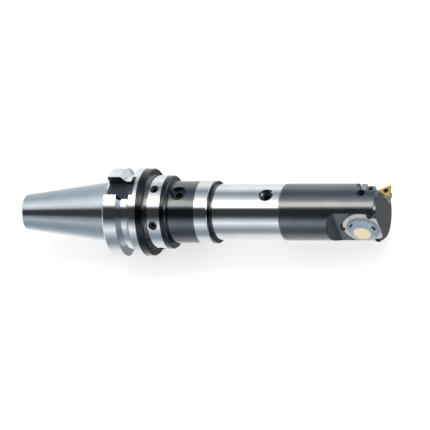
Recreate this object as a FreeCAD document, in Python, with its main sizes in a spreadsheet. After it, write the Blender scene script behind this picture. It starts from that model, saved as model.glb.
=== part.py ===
import FreeCAD, Part
import math
import os

import Sketcher

# A modular boring tool: a taper shank with its flange, an extension bar and a fine boring head.
# The frame: X runs along the tool from the spindle towards the cutting end, with its zero on the
# gauge plane of the taper; Z runs through a drive slot; the insert reaches out along Y.

SIZES = {
    # Taper shank
    "gauge_diameter": 44.45,
    "taper_rise": 7.0,
    "taper_run": 24.0,
    "taper_length": 65.4,
    "taper_end_chamfer": 1.0,
    "stud_pilot_diameter": 17.0,
    "stud_pilot_depth": 8.0,
    "stud_thread_diameter": 13.84,
    "stud_thread_depth": 30.0,
    "coolant_bore_diameter": 8.0,
    # Flange with its gripper groove and drive slots
    "flange_gap": 2.0,
    "flange_diameter": 63.0,
    "flange_width": 25.0,
    "flange_chamfer": 1.0,
    "front_land_width": 10.0,
    "groove_top_width": 9.7,
    "groove_bottom_diameter": 53.0,
    "groove_wall_angle": 30.0,
    "drive_slot_width": 16.1,
    "drive_slot_floor": 22.6,
    "drive_slot_length": 22.4,
    # Steps between the flange and the coupling face
    "black_ring_width": 6.0,
    "black_undercut": 0.15,
    "step_chamfer": 0.8,
    "collar_diameter": 53.0,
    "collar_width": 10.7,
    "collar_ring_width": 4.0,
    "neck_diameter": 45.0,
    "neck_length": 20.5,
    "coupling_land_width": 10.1,
    "balance_hole_diameter": 6.6,
    "balance_hole_depth": 8.0,
    "balance_screw_length": 5.0,
    "balance_screw_recess": 1.6,
    "balance_screw_count": 6,
    # Couplings
    "coupling_bore_diameter": 22.0,
    "coupling_clearance": 0.03,
    "holder_socket_depth": 38.0,
    "extension_spigot_length": 36.0,
    "extension_socket_depth": 24.0,
    "head_spigot_length": 22.0,
    "mouth_chamfer": 1.0,
    "holder_clamp_setback": 23.0,
    "extension_clamp_setback": 10.8,
    "clamp_screw_diameter": 10.0,
    "clamp_screw_recess": 3.5,
    "clamp_tip_length": 4.5,
    "clamp_tip_diameter": 1.0,
    "clamp_tip_foot_diameter": 6.6,
    "clamp_socket_width": 5.0,
    "clamp_socket_depth": 4.0,
    "holder_counterbore_diameter": 12.0,
    "extension_counterbore_diameter": 10.6,
    "clamp_pin_diameter": 8.0,
    "clamp_pin_length": 18.0,
    "clamp_pin_cup_diameter": 5.0,
    "clamp_pin_cup_depth": 3.0,
    "clamp_tip_gap": 0.75,
    "drive_pin_gap": 0.3,
    "drive_pin_diameter": 5.0,
    "drive_pin_length": 7.0,
    "drive_pin_offset": 15.5,
    "pin_clearance": 0.03,
    "seal_section": 1.6,
    "seal_setback": 4.0,
    "seal_groove_width": 2.2,
    # Extension bar
    "extension_flange_width": 2.6,
    "bar_diameter": 40.0,
    "bar_length": 50.7,
    "bar_chamfer": 0.5,
    # Boring head
    "head_diameter": 41.0,
    "head_length": 72.5,
    "head_front_chamfer": 1.5,
    "cutter_radius": 8.1,
    "unit_setback": 12.2,
    "dial_flat_level": 13.6,
    "dial_flat_length": 30.0,
    "seat_level": 11.9,
    "seat_length": 20.0,
    "seat_floor": 9.6,
    "seat_roof": 7.2,
    "gullet_angle": 20.7,
    "gullet_length": 10.7,
    "coolant_jet_diameter": 3.0,
    "coolant_core_length": 64.0,
    "coolant_jet_length": 32.0,
    "coolant_jet_pitch": 27.0,
    "coolant_jet_lift": 48.0,
    # Slide and its screw
    "slide_diameter": 16.0,
    "running_clearance": 0.05,
    "slide_inner_end": 7.4,
    "slide_chamfer": 0.5,
    "slide_travel_out": 2.5,
    "slide_travel_in": 0.5,
    "slide_bore_depth": 15.6,
    "stem_diameter": 7.0,
    "stem_length": 7.4,
    "stem_drop": 2.6,
    "slide_seal_section": 0.9,
    "slide_seal_level": 8.6,
    "key_width": 4.0,
    "key_length": 9.0,
    "key_depth": 1.4,
    "lead_screw_diameter": 8.0,
    "lead_screw_reach": 4.4,
    "lead_collar_width": 2.5,
    "lead_journal_diameter": 10.0,
    "thrust_washer_thickness": 0.5,
    "ring_thickness": 0.8,
    "ring_groove_depth": 0.6,
    "ring_wall": 1.6,
    "face_gap": 0.1,
    "lock_screw_diameter": 6.0,
    "lock_screw_length": 8.0,
    "lock_screw_offset": 1.5,
    "lock_pad_thickness": 2.5,
    "lock_socket_width": 3.0,
    "lock_socket_depth": 3.5,
    # Bearing flange and dial
    "bearing_flange_diameter": 30.0,
    "bearing_flange_thickness": 1.6,
    "flange_screw_circle": 30.8,
    "flange_screw_head_diameter": 4.2,
    "flange_screw_head_height": 0.9,
    "flange_screw_diameter": 2.5,
    "flange_screw_length": 6.0,
    "flange_screw_socket": 1.5,
    "flange_screw_count": 3,
    "dial_diameter": 23.6,
    "dial_rim": 0.6,
    "bevel_height": 2.0,
    "boss_foot_diameter": 18.0,
    "boss_top_diameter": 14.6,
    "boss_height": 1.5,
    "dial_slot_count": 3,
    "dial_slot_start": 20.0,
    "dial_slot_length": 4.4,
    "dial_slot_width": 1.3,
    "dial_slot_circle": 19.2,
    "dial_slot_depth": 1.4,
    "dial_gap": 0.15,
    "cap_diameter": 12.8,
    "cap_thickness": 1.0,
    "cap_stand": 0.25,
    "dial_screw_diameter": 2.0,
    "dial_screw_length": 2.5,
    "dial_screw_level": 1.3,
    # Insert holder, insert and their screws
    "holder_rear": 18.7,
    "holder_front": 0.4,
    "holder_outer": 20.6,
    "holder_floor": 9.3,
    "holder_deck": 0.8,
    "holder_top": 4.0,
    "holder_crown": 6.5,
    "holder_crown_length": 4.0,
    "holder_back_length": 9.3,
    "holder_gap": 0.1,
    "nose_setback": 1.1,
    "insert_edge": 11.0,
    "insert_thickness": 3.18,
    "insert_clearance_angle": 11.0,
    "insert_corner_radius": 0.4,
    "insert_hole_diameter": 2.9,
    "insert_lead_angle": 2.0,
    "tip_radius": 24.8,
    "tip_lead": 1.15,
    "insert_pocket_clearance": 0.06,
    "insert_screw_head_diameter": 3.9,
    "insert_screw_head_height": 1.5,
    "insert_screw_diameter": 2.4,
    "insert_screw_length": 6.4,
    "insert_screw_socket": 1.5,
    "holder_screw_diameter": 4.0,
    "holder_screw_length": 2.6,
    "holder_screw_level": 5.2,
    "holder_screw_socket": 2.0,
}


class Size:
    """A length with its number now and the expression that binds it to the sheet."""

    def __init__(self, number, text):
        self.number = float(number)
        self.text = text

    def __add__(self, other):
        return Size(self.number + number_of(other), "(%s + %s)" % (self.text, text_of(other)))

    def __sub__(self, other):
        return Size(self.number - number_of(other), "(%s - %s)" % (self.text, text_of(other)))

    def __rsub__(self, other):
        return Size(number_of(other) - self.number, "(%s - %s)" % (text_of(other), self.text))

    def __mul__(self, other):
        return Size(self.number * number_of(other), "(%s * %s)" % (self.text, text_of(other)))

    def __truediv__(self, other):
        return Size(self.number / number_of(other), "(%s / %s)" % (self.text, text_of(other)))

    def __neg__(self):
        return Size(-self.number, "(0 - %s)" % self.text)

    __radd__ = __add__
    __rmul__ = __mul__


def number_of(value):
    return value.number if isinstance(value, Size) else float(value)


def text_of(value):
    return value.text if isinstance(value, Size) else repr(float(value))


def sine(size):
    return Size(math.sin(math.radians(size.number)), "sin(%s)" % size.text)


def cosine(size):
    return Size(math.cos(math.radians(size.number)), "cos(%s)" % size.text)


def tangent(size):
    return Size(math.tan(math.radians(size.number)), "tan(%s)" % size.text)


doc = FreeCAD.newDocument("boring_tool")
sheet = doc.addObject("Spreadsheet::Sheet", "sizes")
for row, (alias, value) in enumerate(SIZES.items(), start=1):
    sheet.set("A%d" % row, alias)
    sheet.set("B%d" % row, repr(value))
    sheet.setAlias("B%d" % row, alias)
doc.recompute()


class Sheet:
    """Gives each alias of the sheet as a Size."""

    def __getattr__(self, alias):
        return Size(SIZES[alias], "sizes." + alias)


given = Sheet()
finished = {}

X_AXIS = FreeCAD.Vector(1, 0, 0)
Y_AXIS = FreeCAD.Vector(0, 1, 0)
Z_AXIS = FreeCAD.Vector(0, 0, 1)
OUT_PLUS_Y = FreeCAD.Rotation(Z_AXIS, 90)
OUT_MINUS_Y = FreeCAD.Rotation(Z_AXIS, -90)
TURN_TO_DIAL = FreeCAD.Rotation(X_AXIS, 90)
CIRCLE = 360.0
HEX_SIDES = 6
BEYOND = 5.0


# Helpers for placing, sketching and cutting

def place(item, at, turn=None):
    """Sets a placement and binds each of its coordinates that is a Size."""
    base = FreeCAD.Vector(*[number_of(c) for c in at])
    item.Placement = FreeCAD.Placement(base, turn or FreeCAD.Rotation())
    for axis, coordinate in zip("xyz", at):
        if isinstance(coordinate, Size):
            item.setExpression("Placement.Base." + axis, coordinate.text)


def bind(item, name, value):
    setattr(item, name, number_of(value))
    if isinstance(value, Size):
        item.setExpression(name, value.text)


def hold_point(sketch, edge, end, point):
    """Holds a sketch point at its two coordinates, measured from the sketch's origin."""
    for kind, coordinate, axis in (("DistanceX", point[0], -2), ("DistanceY", point[1], -1)):
        if not isinstance(coordinate, Size) and coordinate == 0:
            sketch.addConstraint(Sketcher.Constraint("PointOnObject", edge, end, axis))
            continue
        index = sketch.addConstraint(Sketcher.Constraint(kind, -1, 1, edge, end, number_of(coordinate)))
        if isinstance(coordinate, Size):
            sketch.setExpression("Constraints[%d]" % index, coordinate.text)


def draw_outline(sketch, corners):
    """Draws a closed outline of straight lines through the corners."""
    count = len(corners)
    points = [FreeCAD.Vector(number_of(x), number_of(y), 0) for x, y in corners]
    for index in range(count):
        sketch.addGeometry(Part.LineSegment(points[index], points[(index + 1) % count]), False)
    for index in range(count):
        sketch.addConstraint(Sketcher.Constraint("Coincident", index, 2, (index + 1) % count, 1))
    for index, corner in enumerate(corners):
        hold_point(sketch, index, 1, corner)


def draw_rectangle(sketch, start, low, end, high):
    draw_outline(sketch, [(start, low), (end, low), (end, high), (start, high)])


def draw_circle(sketch, centre, radius):
    middle = FreeCAD.Vector(number_of(centre[0]), number_of(centre[1]), 0)
    edge = sketch.addGeometry(Part.Circle(middle, Z_AXIS, number_of(radius)), False)
    index = sketch.addConstraint(Sketcher.Constraint("Radius", edge, number_of(radius)))
    if isinstance(radius, Size):
        sketch.setExpression("Constraints[%d]" % index, radius.text)
    hold_point(sketch, edge, 3, centre)


def origin_feature(body, role):
    return next(feature for feature in body.Origin.OriginFeatures if feature.Role == role)


def add_sketch(body, name, plane, offset=(0, 0, 0), tilt=None):
    """Adds a sketch on an origin plane, moved by offset and tilted about one of the plane's axes."""
    sketch = body.newObject("Sketcher::SketchObject", name)
    sketch.AttachmentSupport = (origin_feature(body, plane), [""])
    sketch.MapMode = "FlatFace"
    axis, angle = tilt or (Z_AXIS, 0.0)
    base = FreeCAD.Vector(*[number_of(c) for c in offset])
    sketch.AttachmentOffset = FreeCAD.Placement(base, FreeCAD.Rotation(axis, number_of(angle)))
    for letter, coordinate in zip("xyz", offset):
        if isinstance(coordinate, Size):
            sketch.setExpression("AttachmentOffset.Base." + letter, coordinate.text)
    if isinstance(angle, Size):
        sketch.setExpression("AttachmentOffset.Rotation.Angle", angle.text)
    return sketch


def new_body(label):
    body = doc.addObject("PartDesign::Body", label)
    body.Label = label
    return body


def turn_body(label, corners):
    """Makes a body by turning an outline of (along, radius) corners about the body's X axis."""
    body = new_body(label)
    sketch = add_sketch(body, label + "_outline", "XY_Plane")
    draw_outline(sketch, corners)
    turned = body.newObject("PartDesign::Revolution", label + "_turned")
    turned.Profile = sketch
    turned.ReferenceAxis = (sketch, ["H_Axis"])
    turned.Angle = CIRCLE
    return body


def cut_from(body, sketch, depth, along_normal=False):
    """Pockets a sketch against its normal, or along it."""
    pocket = body.newObject("PartDesign::Pocket", sketch.Name + "_cut")
    pocket.Profile = sketch
    pocket.Type = 0
    bind(pocket, "Length", depth)
    pocket.Reversed = along_normal
    return pocket


def raise_from(body, sketch, height, against_normal=False):
    pad = body.newObject("PartDesign::Pad", sketch.Name + "_pad")
    pad.Profile = sketch
    pad.Type = 0
    bind(pad, "Length", height)
    pad.Reversed = against_normal
    return pad


def drill(body, name, plane, centre, radius, start, depth, along_normal=False):
    """Drills a round hole from a level above an origin plane."""
    sketch = add_sketch(body, name, plane, (0, 0, start))
    draw_circle(sketch, centre, radius)
    return cut_from(body, sketch, depth, along_normal)


def repeat_round(body, feature, count):
    """Repeats a cut round the body's X axis."""
    pattern = body.newObject("PartDesign::PolarPattern", feature.Name + "_round")
    pattern.Originals = [feature]
    pattern.Axis = (origin_feature(body, "X_Axis"), [""])
    pattern.Angle = CIRCLE
    pattern.Occurrences = int(number_of(count))
    if isinstance(count, Size):
        pattern.setExpression("Occurrences", count.text)
    body.Tip = pattern
    return pattern


def finish(item, at=(0, 0, 0), turn=None):
    """Places a finished piece and notes it under its label."""
    place(item, at, turn)
    finished[item.Label] = item
    return item


def cylinder(name, radius, height, at=(0, 0, 0), turn=None):
    item = doc.addObject("Part::Cylinder", name)
    bind(item, "Radius", radius)
    bind(item, "Height", height)
    place(item, at, turn)
    return item


def cone(name, foot_radius, top_radius, height, at=(0, 0, 0)):
    item = doc.addObject("Part::Cone", name)
    bind(item, "Radius1", foot_radius)
    bind(item, "Radius2", top_radius)
    bind(item, "Height", height)
    place(item, at)
    return item


def hexagon(name, width, height, at):
    """A hexagonal prism of the given width across its flats."""
    item = doc.addObject("Part::Prism", name)
    item.Polygon = HEX_SIDES
    bind(item, "Circumradius", width / math.sqrt(3))
    bind(item, "Height", height)
    place(item, at)
    return item


def join(name, pieces):
    item = doc.addObject("Part::MultiFuse", name)
    item.Shapes = pieces
    item.Refine = True
    return item


def subtract(name, base, tool):
    item = doc.addObject("Part::Cut", name)
    item.Base = base
    item.Tool = tool
    item.Label = name
    return item


def gather(label, pieces):
    """Keeps like pieces together as separate solids of one node."""
    item = doc.addObject("Part::Compound", label)
    item.Links = pieces
    item.Label = label
    return finish(item)


def tube(label, outer, inner, height):
    """A ring that stands on its local XY plane."""
    return subtract(label, cylinder(label + "_outside", outer, height),
                    cylinder(label + "_inside", inner, height + 2 * BEYOND, (0, 0, -BEYOND)))


def headless_screw(label, diameter, length, socket_width, socket_depth, tip=None):
    """A screw without a head, from its socket at local z = 0 down to its tip (length, diameter, foot)."""
    tip_length, tip_diameter, tip_foot = tip or (0, 0, 0)
    shank_length = length - tip_length
    shank = cylinder(label + "_shank", diameter / 2, shank_length, (0, 0, -shank_length))
    if tip:
        point = cone(label + "_tip", tip_diameter / 2, tip_foot / 2, tip_length, (0, 0, -length))
        shank = join(label + "_solid", [shank, point])
    socket = hexagon(label + "_socket", socket_width, socket_depth + BEYOND, (0, 0, -socket_depth))
    return subtract(label, shank, socket)


def drill_pin_hole(body, name, face_x, along_normal=False):
    """A blind hole for half of a drive pin, from a coupling face."""
    drill(body, name, "YZ_Plane", (0, -given.drive_pin_offset), drive_pin_radius + given.pin_clearance,
          face_x, given.drive_pin_length / 2 + given.drive_pin_gap, along_normal)


# Places along the tool

gauge_radius = given.gauge_diameter / 2
flange_front = given.flange_gap
flange_rear = flange_front + given.flange_width
collar_start = flange_rear + given.black_ring_width
collar_end = collar_start + given.collar_width
neck_start = collar_end + given.collar_ring_width
land_start = neck_start + given.neck_length
holder_face = land_start + given.coupling_land_width
bar_start = holder_face + given.extension_flange_width
bar_face = bar_start + given.bar_length
head_front = bar_face + given.head_length
unit_x = head_front - given.unit_setback

flange_radius = given.flange_diameter / 2
collar_radius = given.collar_diameter / 2
neck_radius = given.neck_diameter / 2
bar_radius = given.bar_diameter / 2
slide_shoulder = given.seat_level + given.slide_travel_in
head_radius = given.head_diameter / 2
socket_radius = given.coupling_bore_diameter / 2
spigot_radius = socket_radius - given.coupling_clearance
coolant_radius = given.coolant_bore_diameter / 2
clamp_radius = given.clamp_screw_diameter / 2
drive_pin_radius = given.drive_pin_diameter / 2
clamp_pin_radius = given.clamp_pin_diameter / 2
holder_clamp_x = holder_face - given.holder_clamp_setback
extension_clamp_x = bar_face - given.extension_clamp_setback


# Taper shank, flange and neck, turned from one piece

def make_basic_holder():
    start = -given.taper_length
    half_taper = given.taper_rise / given.taper_run / 2
    small_radius = gauge_radius - given.taper_length * half_taper
    chamfer_radius = small_radius + given.taper_end_chamfer * half_taper
    groove_radius = given.groove_bottom_diameter / 2
    groove_start = flange_front + given.front_land_width
    groove_end = groove_start + given.groove_top_width
    groove_lean = (flange_radius - groove_radius) * tangent(given.groove_wall_angle)
    black_radius = flange_radius - given.black_undercut
    ring_radius = collar_radius - given.black_undercut
    pilot_radius = given.stud_pilot_diameter / 2
    thread_radius = given.stud_thread_diameter / 2
    pilot_end = start + given.stud_pilot_depth
    thread_end = start + given.stud_thread_depth
    socket_end = holder_face - given.holder_socket_depth
    body = turn_body("basic_holder", [
        (start, pilot_radius),
        (start, small_radius - given.taper_end_chamfer),
        (start + given.taper_end_chamfer, chamfer_radius),
        (0, gauge_radius),
        (flange_front, gauge_radius),
        (flange_front, flange_radius - given.flange_chamfer),
        (flange_front + given.flange_chamfer, flange_radius),
        (groove_start, flange_radius),
        (groove_start + groove_lean, groove_radius),
        (groove_end - groove_lean, groove_radius),
        (groove_end, flange_radius),
        (flange_rear, flange_radius),
        (flange_rear, black_radius),
        (collar_start - given.step_chamfer, black_radius),
        (collar_start, black_radius - given.step_chamfer),
        (collar_start, collar_radius),
        (collar_end, collar_radius),
        (collar_end, ring_radius),
        (neck_start - given.step_chamfer, ring_radius),
        (neck_start, ring_radius - given.step_chamfer),
        (neck_start, neck_radius - given.black_undercut),
        (land_start, neck_radius - given.black_undercut),
        (land_start, neck_radius),
        (holder_face - given.bar_chamfer, neck_radius),
        (holder_face, neck_radius - given.bar_chamfer),
        (holder_face, socket_radius + given.mouth_chamfer),
        (holder_face - given.mouth_chamfer, socket_radius),
        (socket_end, socket_radius),
        (socket_end, coolant_radius),
        (thread_end, coolant_radius),
        (thread_end, thread_radius),
        (pilot_end, thread_radius),
        (pilot_end, pilot_radius),
    ])

    # The drive slots end in the full round of their cutter, which just bites the front land
    slot = add_sketch(body, "drive_slot", "XY_Plane", (0, 0, given.drive_slot_floor))
    half_slot = given.drive_slot_width / 2
    slot_end = flange_front + given.drive_slot_length - half_slot
    slot_mouth = flange_front - BEYOND
    draw_rectangle(slot, slot_mouth, -half_slot, slot_end, half_slot)
    repeat_round(body, cut_from(body, slot, flange_radius, along_normal=True), 2)
    slot_round = drill(body, "drive_slot_round", "XY_Plane", (slot_end, 0), half_slot, given.drive_slot_floor,
                       flange_radius, along_normal=True)
    repeat_round(body, slot_round, 2)

    hole = drill(body, "balance_hole", "XY_Plane", ((collar_start + collar_end) / 2, 0),
                 given.balance_hole_diameter / 2, collar_radius + BEYOND, given.balance_hole_depth + BEYOND)
    repeat_round(body, hole, given.balance_screw_count)

    thread = drill(body, "clamp_thread", "XY_Plane", (holder_clamp_x, 0),
                   clamp_radius + given.running_clearance, neck_radius + BEYOND, neck_radius + BEYOND)
    repeat_round(body, thread, 2)
    drill(body, "clamp_counterbore", "XY_Plane", (holder_clamp_x, 0), given.holder_counterbore_diameter / 2,
          neck_radius + BEYOND, given.clamp_screw_recess + BEYOND)
    drill_pin_hole(body, "drive_pin_hole", holder_face)
    return finish(body)


def make_balance_screws():
    count = int(SIZES["balance_screw_count"])
    depth = collar_radius - given.balance_screw_recess
    middle = (collar_start + collar_end) / 2
    diameter = given.balance_hole_diameter - 2 * given.running_clearance
    length = given.balance_screw_length
    screws = []
    for index in range(count):
        screw = headless_screw("balance_screw_%d" % (index + 1), diameter, length,
                               given.balance_hole_diameter / 2, length / 2)
        angle = math.tau * index / count
        across, up = math.sin(angle), math.cos(angle)
        outwards = FreeCAD.Rotation(Z_AXIS, FreeCAD.Vector(0, across, up))
        place(screw, (middle, depth * across, depth * up), outwards)
        screws.append(screw)
    return gather("balance_screws", screws)


# The two couplings: a screw, a fixed counter screw, a floating pin, a drive pin and a seal each

def make_clamp_screws(prefix, at_x, outer_radius):
    """A clamp screw on the slot side and a counter screw opposite, both reaching the floating pin."""
    pin_end = given.clamp_pin_length / 2
    tip_reach = pin_end - given.clamp_pin_cup_depth + given.clamp_tip_gap
    top = outer_radius - given.clamp_screw_recess
    tip = (given.clamp_tip_length, given.clamp_tip_diameter, given.clamp_tip_foot_diameter)
    for name, side, turn in (("_clamp_screw", 1, 0), ("_counter_screw", -1, 180)):
        screw = headless_screw(prefix + name, given.clamp_screw_diameter, top - tip_reach,
                               given.clamp_socket_width, given.clamp_socket_depth, tip)
        finish(screw, (at_x, 0, top * side), FreeCAD.Rotation(X_AXIS, turn))


def make_clamp_pin(label, at_x):
    """A pin that floats across the spigot, with a cup for a screw's tip in each end."""
    length = given.clamp_pin_length
    radius = clamp_pin_radius - given.pin_clearance
    pin = cylinder(label + "_round", radius, length, (0, 0, -length / 2))
    cup_radius = given.clamp_pin_cup_diameter / 2
    upper = cone(label + "_upper_cup", 0, cup_radius, given.clamp_pin_cup_depth,
                 (0, 0, length / 2 - given.clamp_pin_cup_depth))
    lower = cone(label + "_lower_cup", cup_radius, 0, given.clamp_pin_cup_depth, (0, 0, -length / 2))
    finish(subtract(label, pin, join(label + "_cups", [upper, lower])), (at_x, 0, 0))


def make_drive_pin(label, face_x):
    pin = cylinder(label, drive_pin_radius, given.drive_pin_length)
    pin.Label = label
    foot = face_x - given.drive_pin_length / 2
    finish(pin, (foot, 0, -given.drive_pin_offset), FreeCAD.Rotation(Z_AXIS, X_AXIS))


def make_seal(label, middle_x):
    ring = doc.addObject("Part::Torus", label)
    ring.Label = label
    bind(ring, "Radius1", spigot_radius - given.seal_section / 2 - given.pin_clearance)
    bind(ring, "Radius2", given.seal_section / 2)
    finish(ring, (middle_x, 0, 0), FreeCAD.Rotation(Z_AXIS, X_AXIS))


def spigot_corners(end_x, face_x):
    """The outside of a spigot from its chamfered end to the face that it seats on, with a seal groove."""
    groove_radius = spigot_radius - given.seal_section - 2 * given.pin_clearance
    groove_middle = face_x - given.seal_setback
    groove_start = groove_middle - given.seal_groove_width / 2
    groove_end = groove_middle + given.seal_groove_width / 2
    return [
        (end_x, spigot_radius - given.mouth_chamfer),
        (end_x + given.mouth_chamfer, spigot_radius),
        (groove_start, spigot_radius),
        (groove_start, groove_radius),
        (groove_end, groove_radius),
        (groove_end, spigot_radius),
        (face_x, spigot_radius),
    ]


def cut_pin_hole(body, at_x):
    """The cross hole for the floating clamp pin."""
    drill(body, "clamp_pin_hole", "XY_Plane", (at_x, 0), clamp_pin_radius, spigot_radius + BEYOND,
          2 * (spigot_radius + BEYOND))


# Extension bar

def make_extension_bar():
    spigot_end = holder_face - given.extension_spigot_length
    socket_end = bar_face - given.extension_socket_depth
    chamfer = given.bar_chamfer
    corners = [(spigot_end, coolant_radius)] + spigot_corners(spigot_end, holder_face) + [
        (holder_face, neck_radius - chamfer),
        (holder_face + chamfer, neck_radius),
        (bar_start - chamfer, neck_radius),
        (bar_start, neck_radius - chamfer),
        (bar_start, bar_radius),
        (bar_face - chamfer, bar_radius),
        (bar_face, bar_radius - chamfer),
        (bar_face, socket_radius + given.mouth_chamfer),
        (bar_face - given.mouth_chamfer, socket_radius),
        (socket_end, socket_radius),
        (socket_end, coolant_radius),
    ]
    body = turn_body("extension_bar", corners)
    cut_pin_hole(body, holder_clamp_x)
    drill_pin_hole(body, "rear_pin_hole", holder_face, along_normal=True)
    thread = drill(body, "bar_clamp_thread", "XY_Plane", (extension_clamp_x, 0),
                   clamp_radius + given.running_clearance, bar_radius + BEYOND, bar_radius + BEYOND)
    repeat_round(body, thread, 2)
    drill(body, "bar_counterbore", "XY_Plane", (extension_clamp_x, 0),
          given.extension_counterbore_diameter / 2, bar_radius + BEYOND, given.clamp_screw_recess + BEYOND)
    drill_pin_hole(body, "front_pin_hole", bar_face)
    return finish(body)


# Boring head: x is measured from its front face, so what lies behind the face is negative

def make_head_body():
    face = -given.head_length
    spigot_end = face - given.head_spigot_length
    core_end = spigot_end + given.coolant_core_length
    jet_radius = given.coolant_jet_diameter / 2
    chamfer = given.head_front_chamfer
    corners = [(spigot_end, jet_radius)] + spigot_corners(spigot_end, face) + [
        (face, head_radius - given.bar_chamfer),
        (face + given.bar_chamfer, head_radius),
        (-chamfer, head_radius),
        (0, head_radius - chamfer),
        (0, 0),
        (core_end, 0),
        (core_end, jet_radius),
    ]
    body = turn_body("head_body", corners)
    cut_pin_hole(body, face - given.extension_clamp_setback)
    drill_pin_hole(body, "head_pin_hole", face, along_normal=True)

    # The flat under the dial, and the hollow that the same round cutter leaves at its inner end
    above = head_radius + BEYOND
    flat = add_sketch(body, "dial_flat", "XY_Plane", (0, 0, above))
    flat_end = -given.dial_flat_length
    draw_rectangle(flat, flat_end, -given.dial_flat_level, BEYOND, -above)
    cut_from(body, flat, 2 * above)
    drill(body, "dial_flat_runout", "XY_Plane", (flat_end, -(given.dial_flat_level + given.cutter_radius)),
          given.cutter_radius, above, 2 * above)

    # The seat for the insert holder
    seat = add_sketch(body, "holder_seat", "XY_Plane", (0, 0, given.seat_roof))
    seat_end = -given.seat_length
    draw_rectangle(seat, seat_end, given.seat_level, BEYOND, above)
    cut_from(body, seat, given.seat_roof + given.seat_floor)

    # The chip gullet above the insert, whose wall leans away from the seat
    lean = (X_AXIS, given.gullet_angle)
    gullet = add_sketch(body, "gullet", "XY_Plane", (0, given.seat_level, 0), lean)
    gullet_end = -given.gullet_length
    draw_rectangle(gullet, gullet_end, 0, BEYOND, above)
    cut_from(body, gullet, above, along_normal=True)
    runout = add_sketch(body, "gullet_runout", "XY_Plane", (0, given.seat_level, 0), lean)
    draw_circle(runout, (gullet_end, given.cutter_radius), given.cutter_radius)
    cut_from(body, runout, above, along_normal=True)
    relief = add_sketch(body, "gullet_relief", "XY_Plane", (0, given.seat_level, 0), lean)
    relief_end = gullet_end - given.cutter_radius
    draw_rectangle(relief, relief_end, given.cutter_radius, BEYOND, above)
    cut_from(body, relief, above, along_normal=True)

    # The bore that carries the slide, with a groove for the retaining ring and a seat for the key
    slide_radius = given.slide_diameter / 2
    drill(body, "slide_bore", "XZ_Plane", (-given.unit_setback, 0), slide_radius, above, 2 * above)
    drill(body, "ring_groove", "XZ_Plane", (-given.unit_setback, 0), slide_radius + given.ring_groove_depth,
          ring_outer_level(), given.ring_thickness + given.face_gap)
    key_seat = add_sketch(body, "key_seat", "XY_Plane", (0, 0, 0))
    half_key = given.key_width / 2
    half_length = given.key_length / 2
    middle = -given.unit_setback
    draw_rectangle(key_seat, middle - half_key, -half_length, middle + half_key, half_length)
    cut_from(body, key_seat, slide_radius + given.key_depth)

    # The lock screw's hole above the slide, and the holes of the bearing flange's screws
    drill(body, "lock_hole", "XY_Plane", (-given.unit_setback, given.lock_screw_offset),
          given.lock_screw_diameter / 2 + given.running_clearance, above, above)
    for index, (along, across) in enumerate(flange_screw_places()):
        drill(body, "flange_screw_hole_%d" % (index + 1), "XZ_Plane", (along - given.unit_setback, across),
              given.flange_screw_diameter / 2, given.dial_flat_level, given.flange_screw_length)

    # The coolant jet, from the core bore to the gullet
    jet = body.newObject("PartDesign::SubtractiveCylinder", "coolant_jet")
    bind(jet, "Radius", jet_radius)
    bind(jet, "Height", given.coolant_jet_length)
    lift = FreeCAD.Rotation(X_AXIS, -number_of(given.coolant_jet_lift))
    pitch = FreeCAD.Rotation(Z_AXIS, number_of(given.coolant_jet_pitch))
    aim = lift.multiply(pitch).multiply(FreeCAD.Rotation(Z_AXIS, X_AXIS))
    place(jet, (core_end - jet_radius, 0, 0), aim)
    return finish(body, (head_front, 0, 0))


def ring_outer_level():
    """How far from the tool's axis the retaining ring ends, on the dial's side."""
    collar_top = given.dial_flat_level - given.thrust_washer_thickness - given.pin_clearance
    return collar_top - given.lead_collar_width - given.pin_clearance


def flange_screw_places():
    """Where the bearing flange's screws stand, along and across the tool from the dial's axis."""
    count = int(SIZES["flange_screw_count"])
    radius = given.flange_screw_circle / 2
    places = []
    for index in range(count):
        angle = math.pi + math.tau * index / count
        places.append((radius * math.cos(angle), radius * math.sin(angle)))
    return places


# Slide, key, lock screw and lead screw

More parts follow.
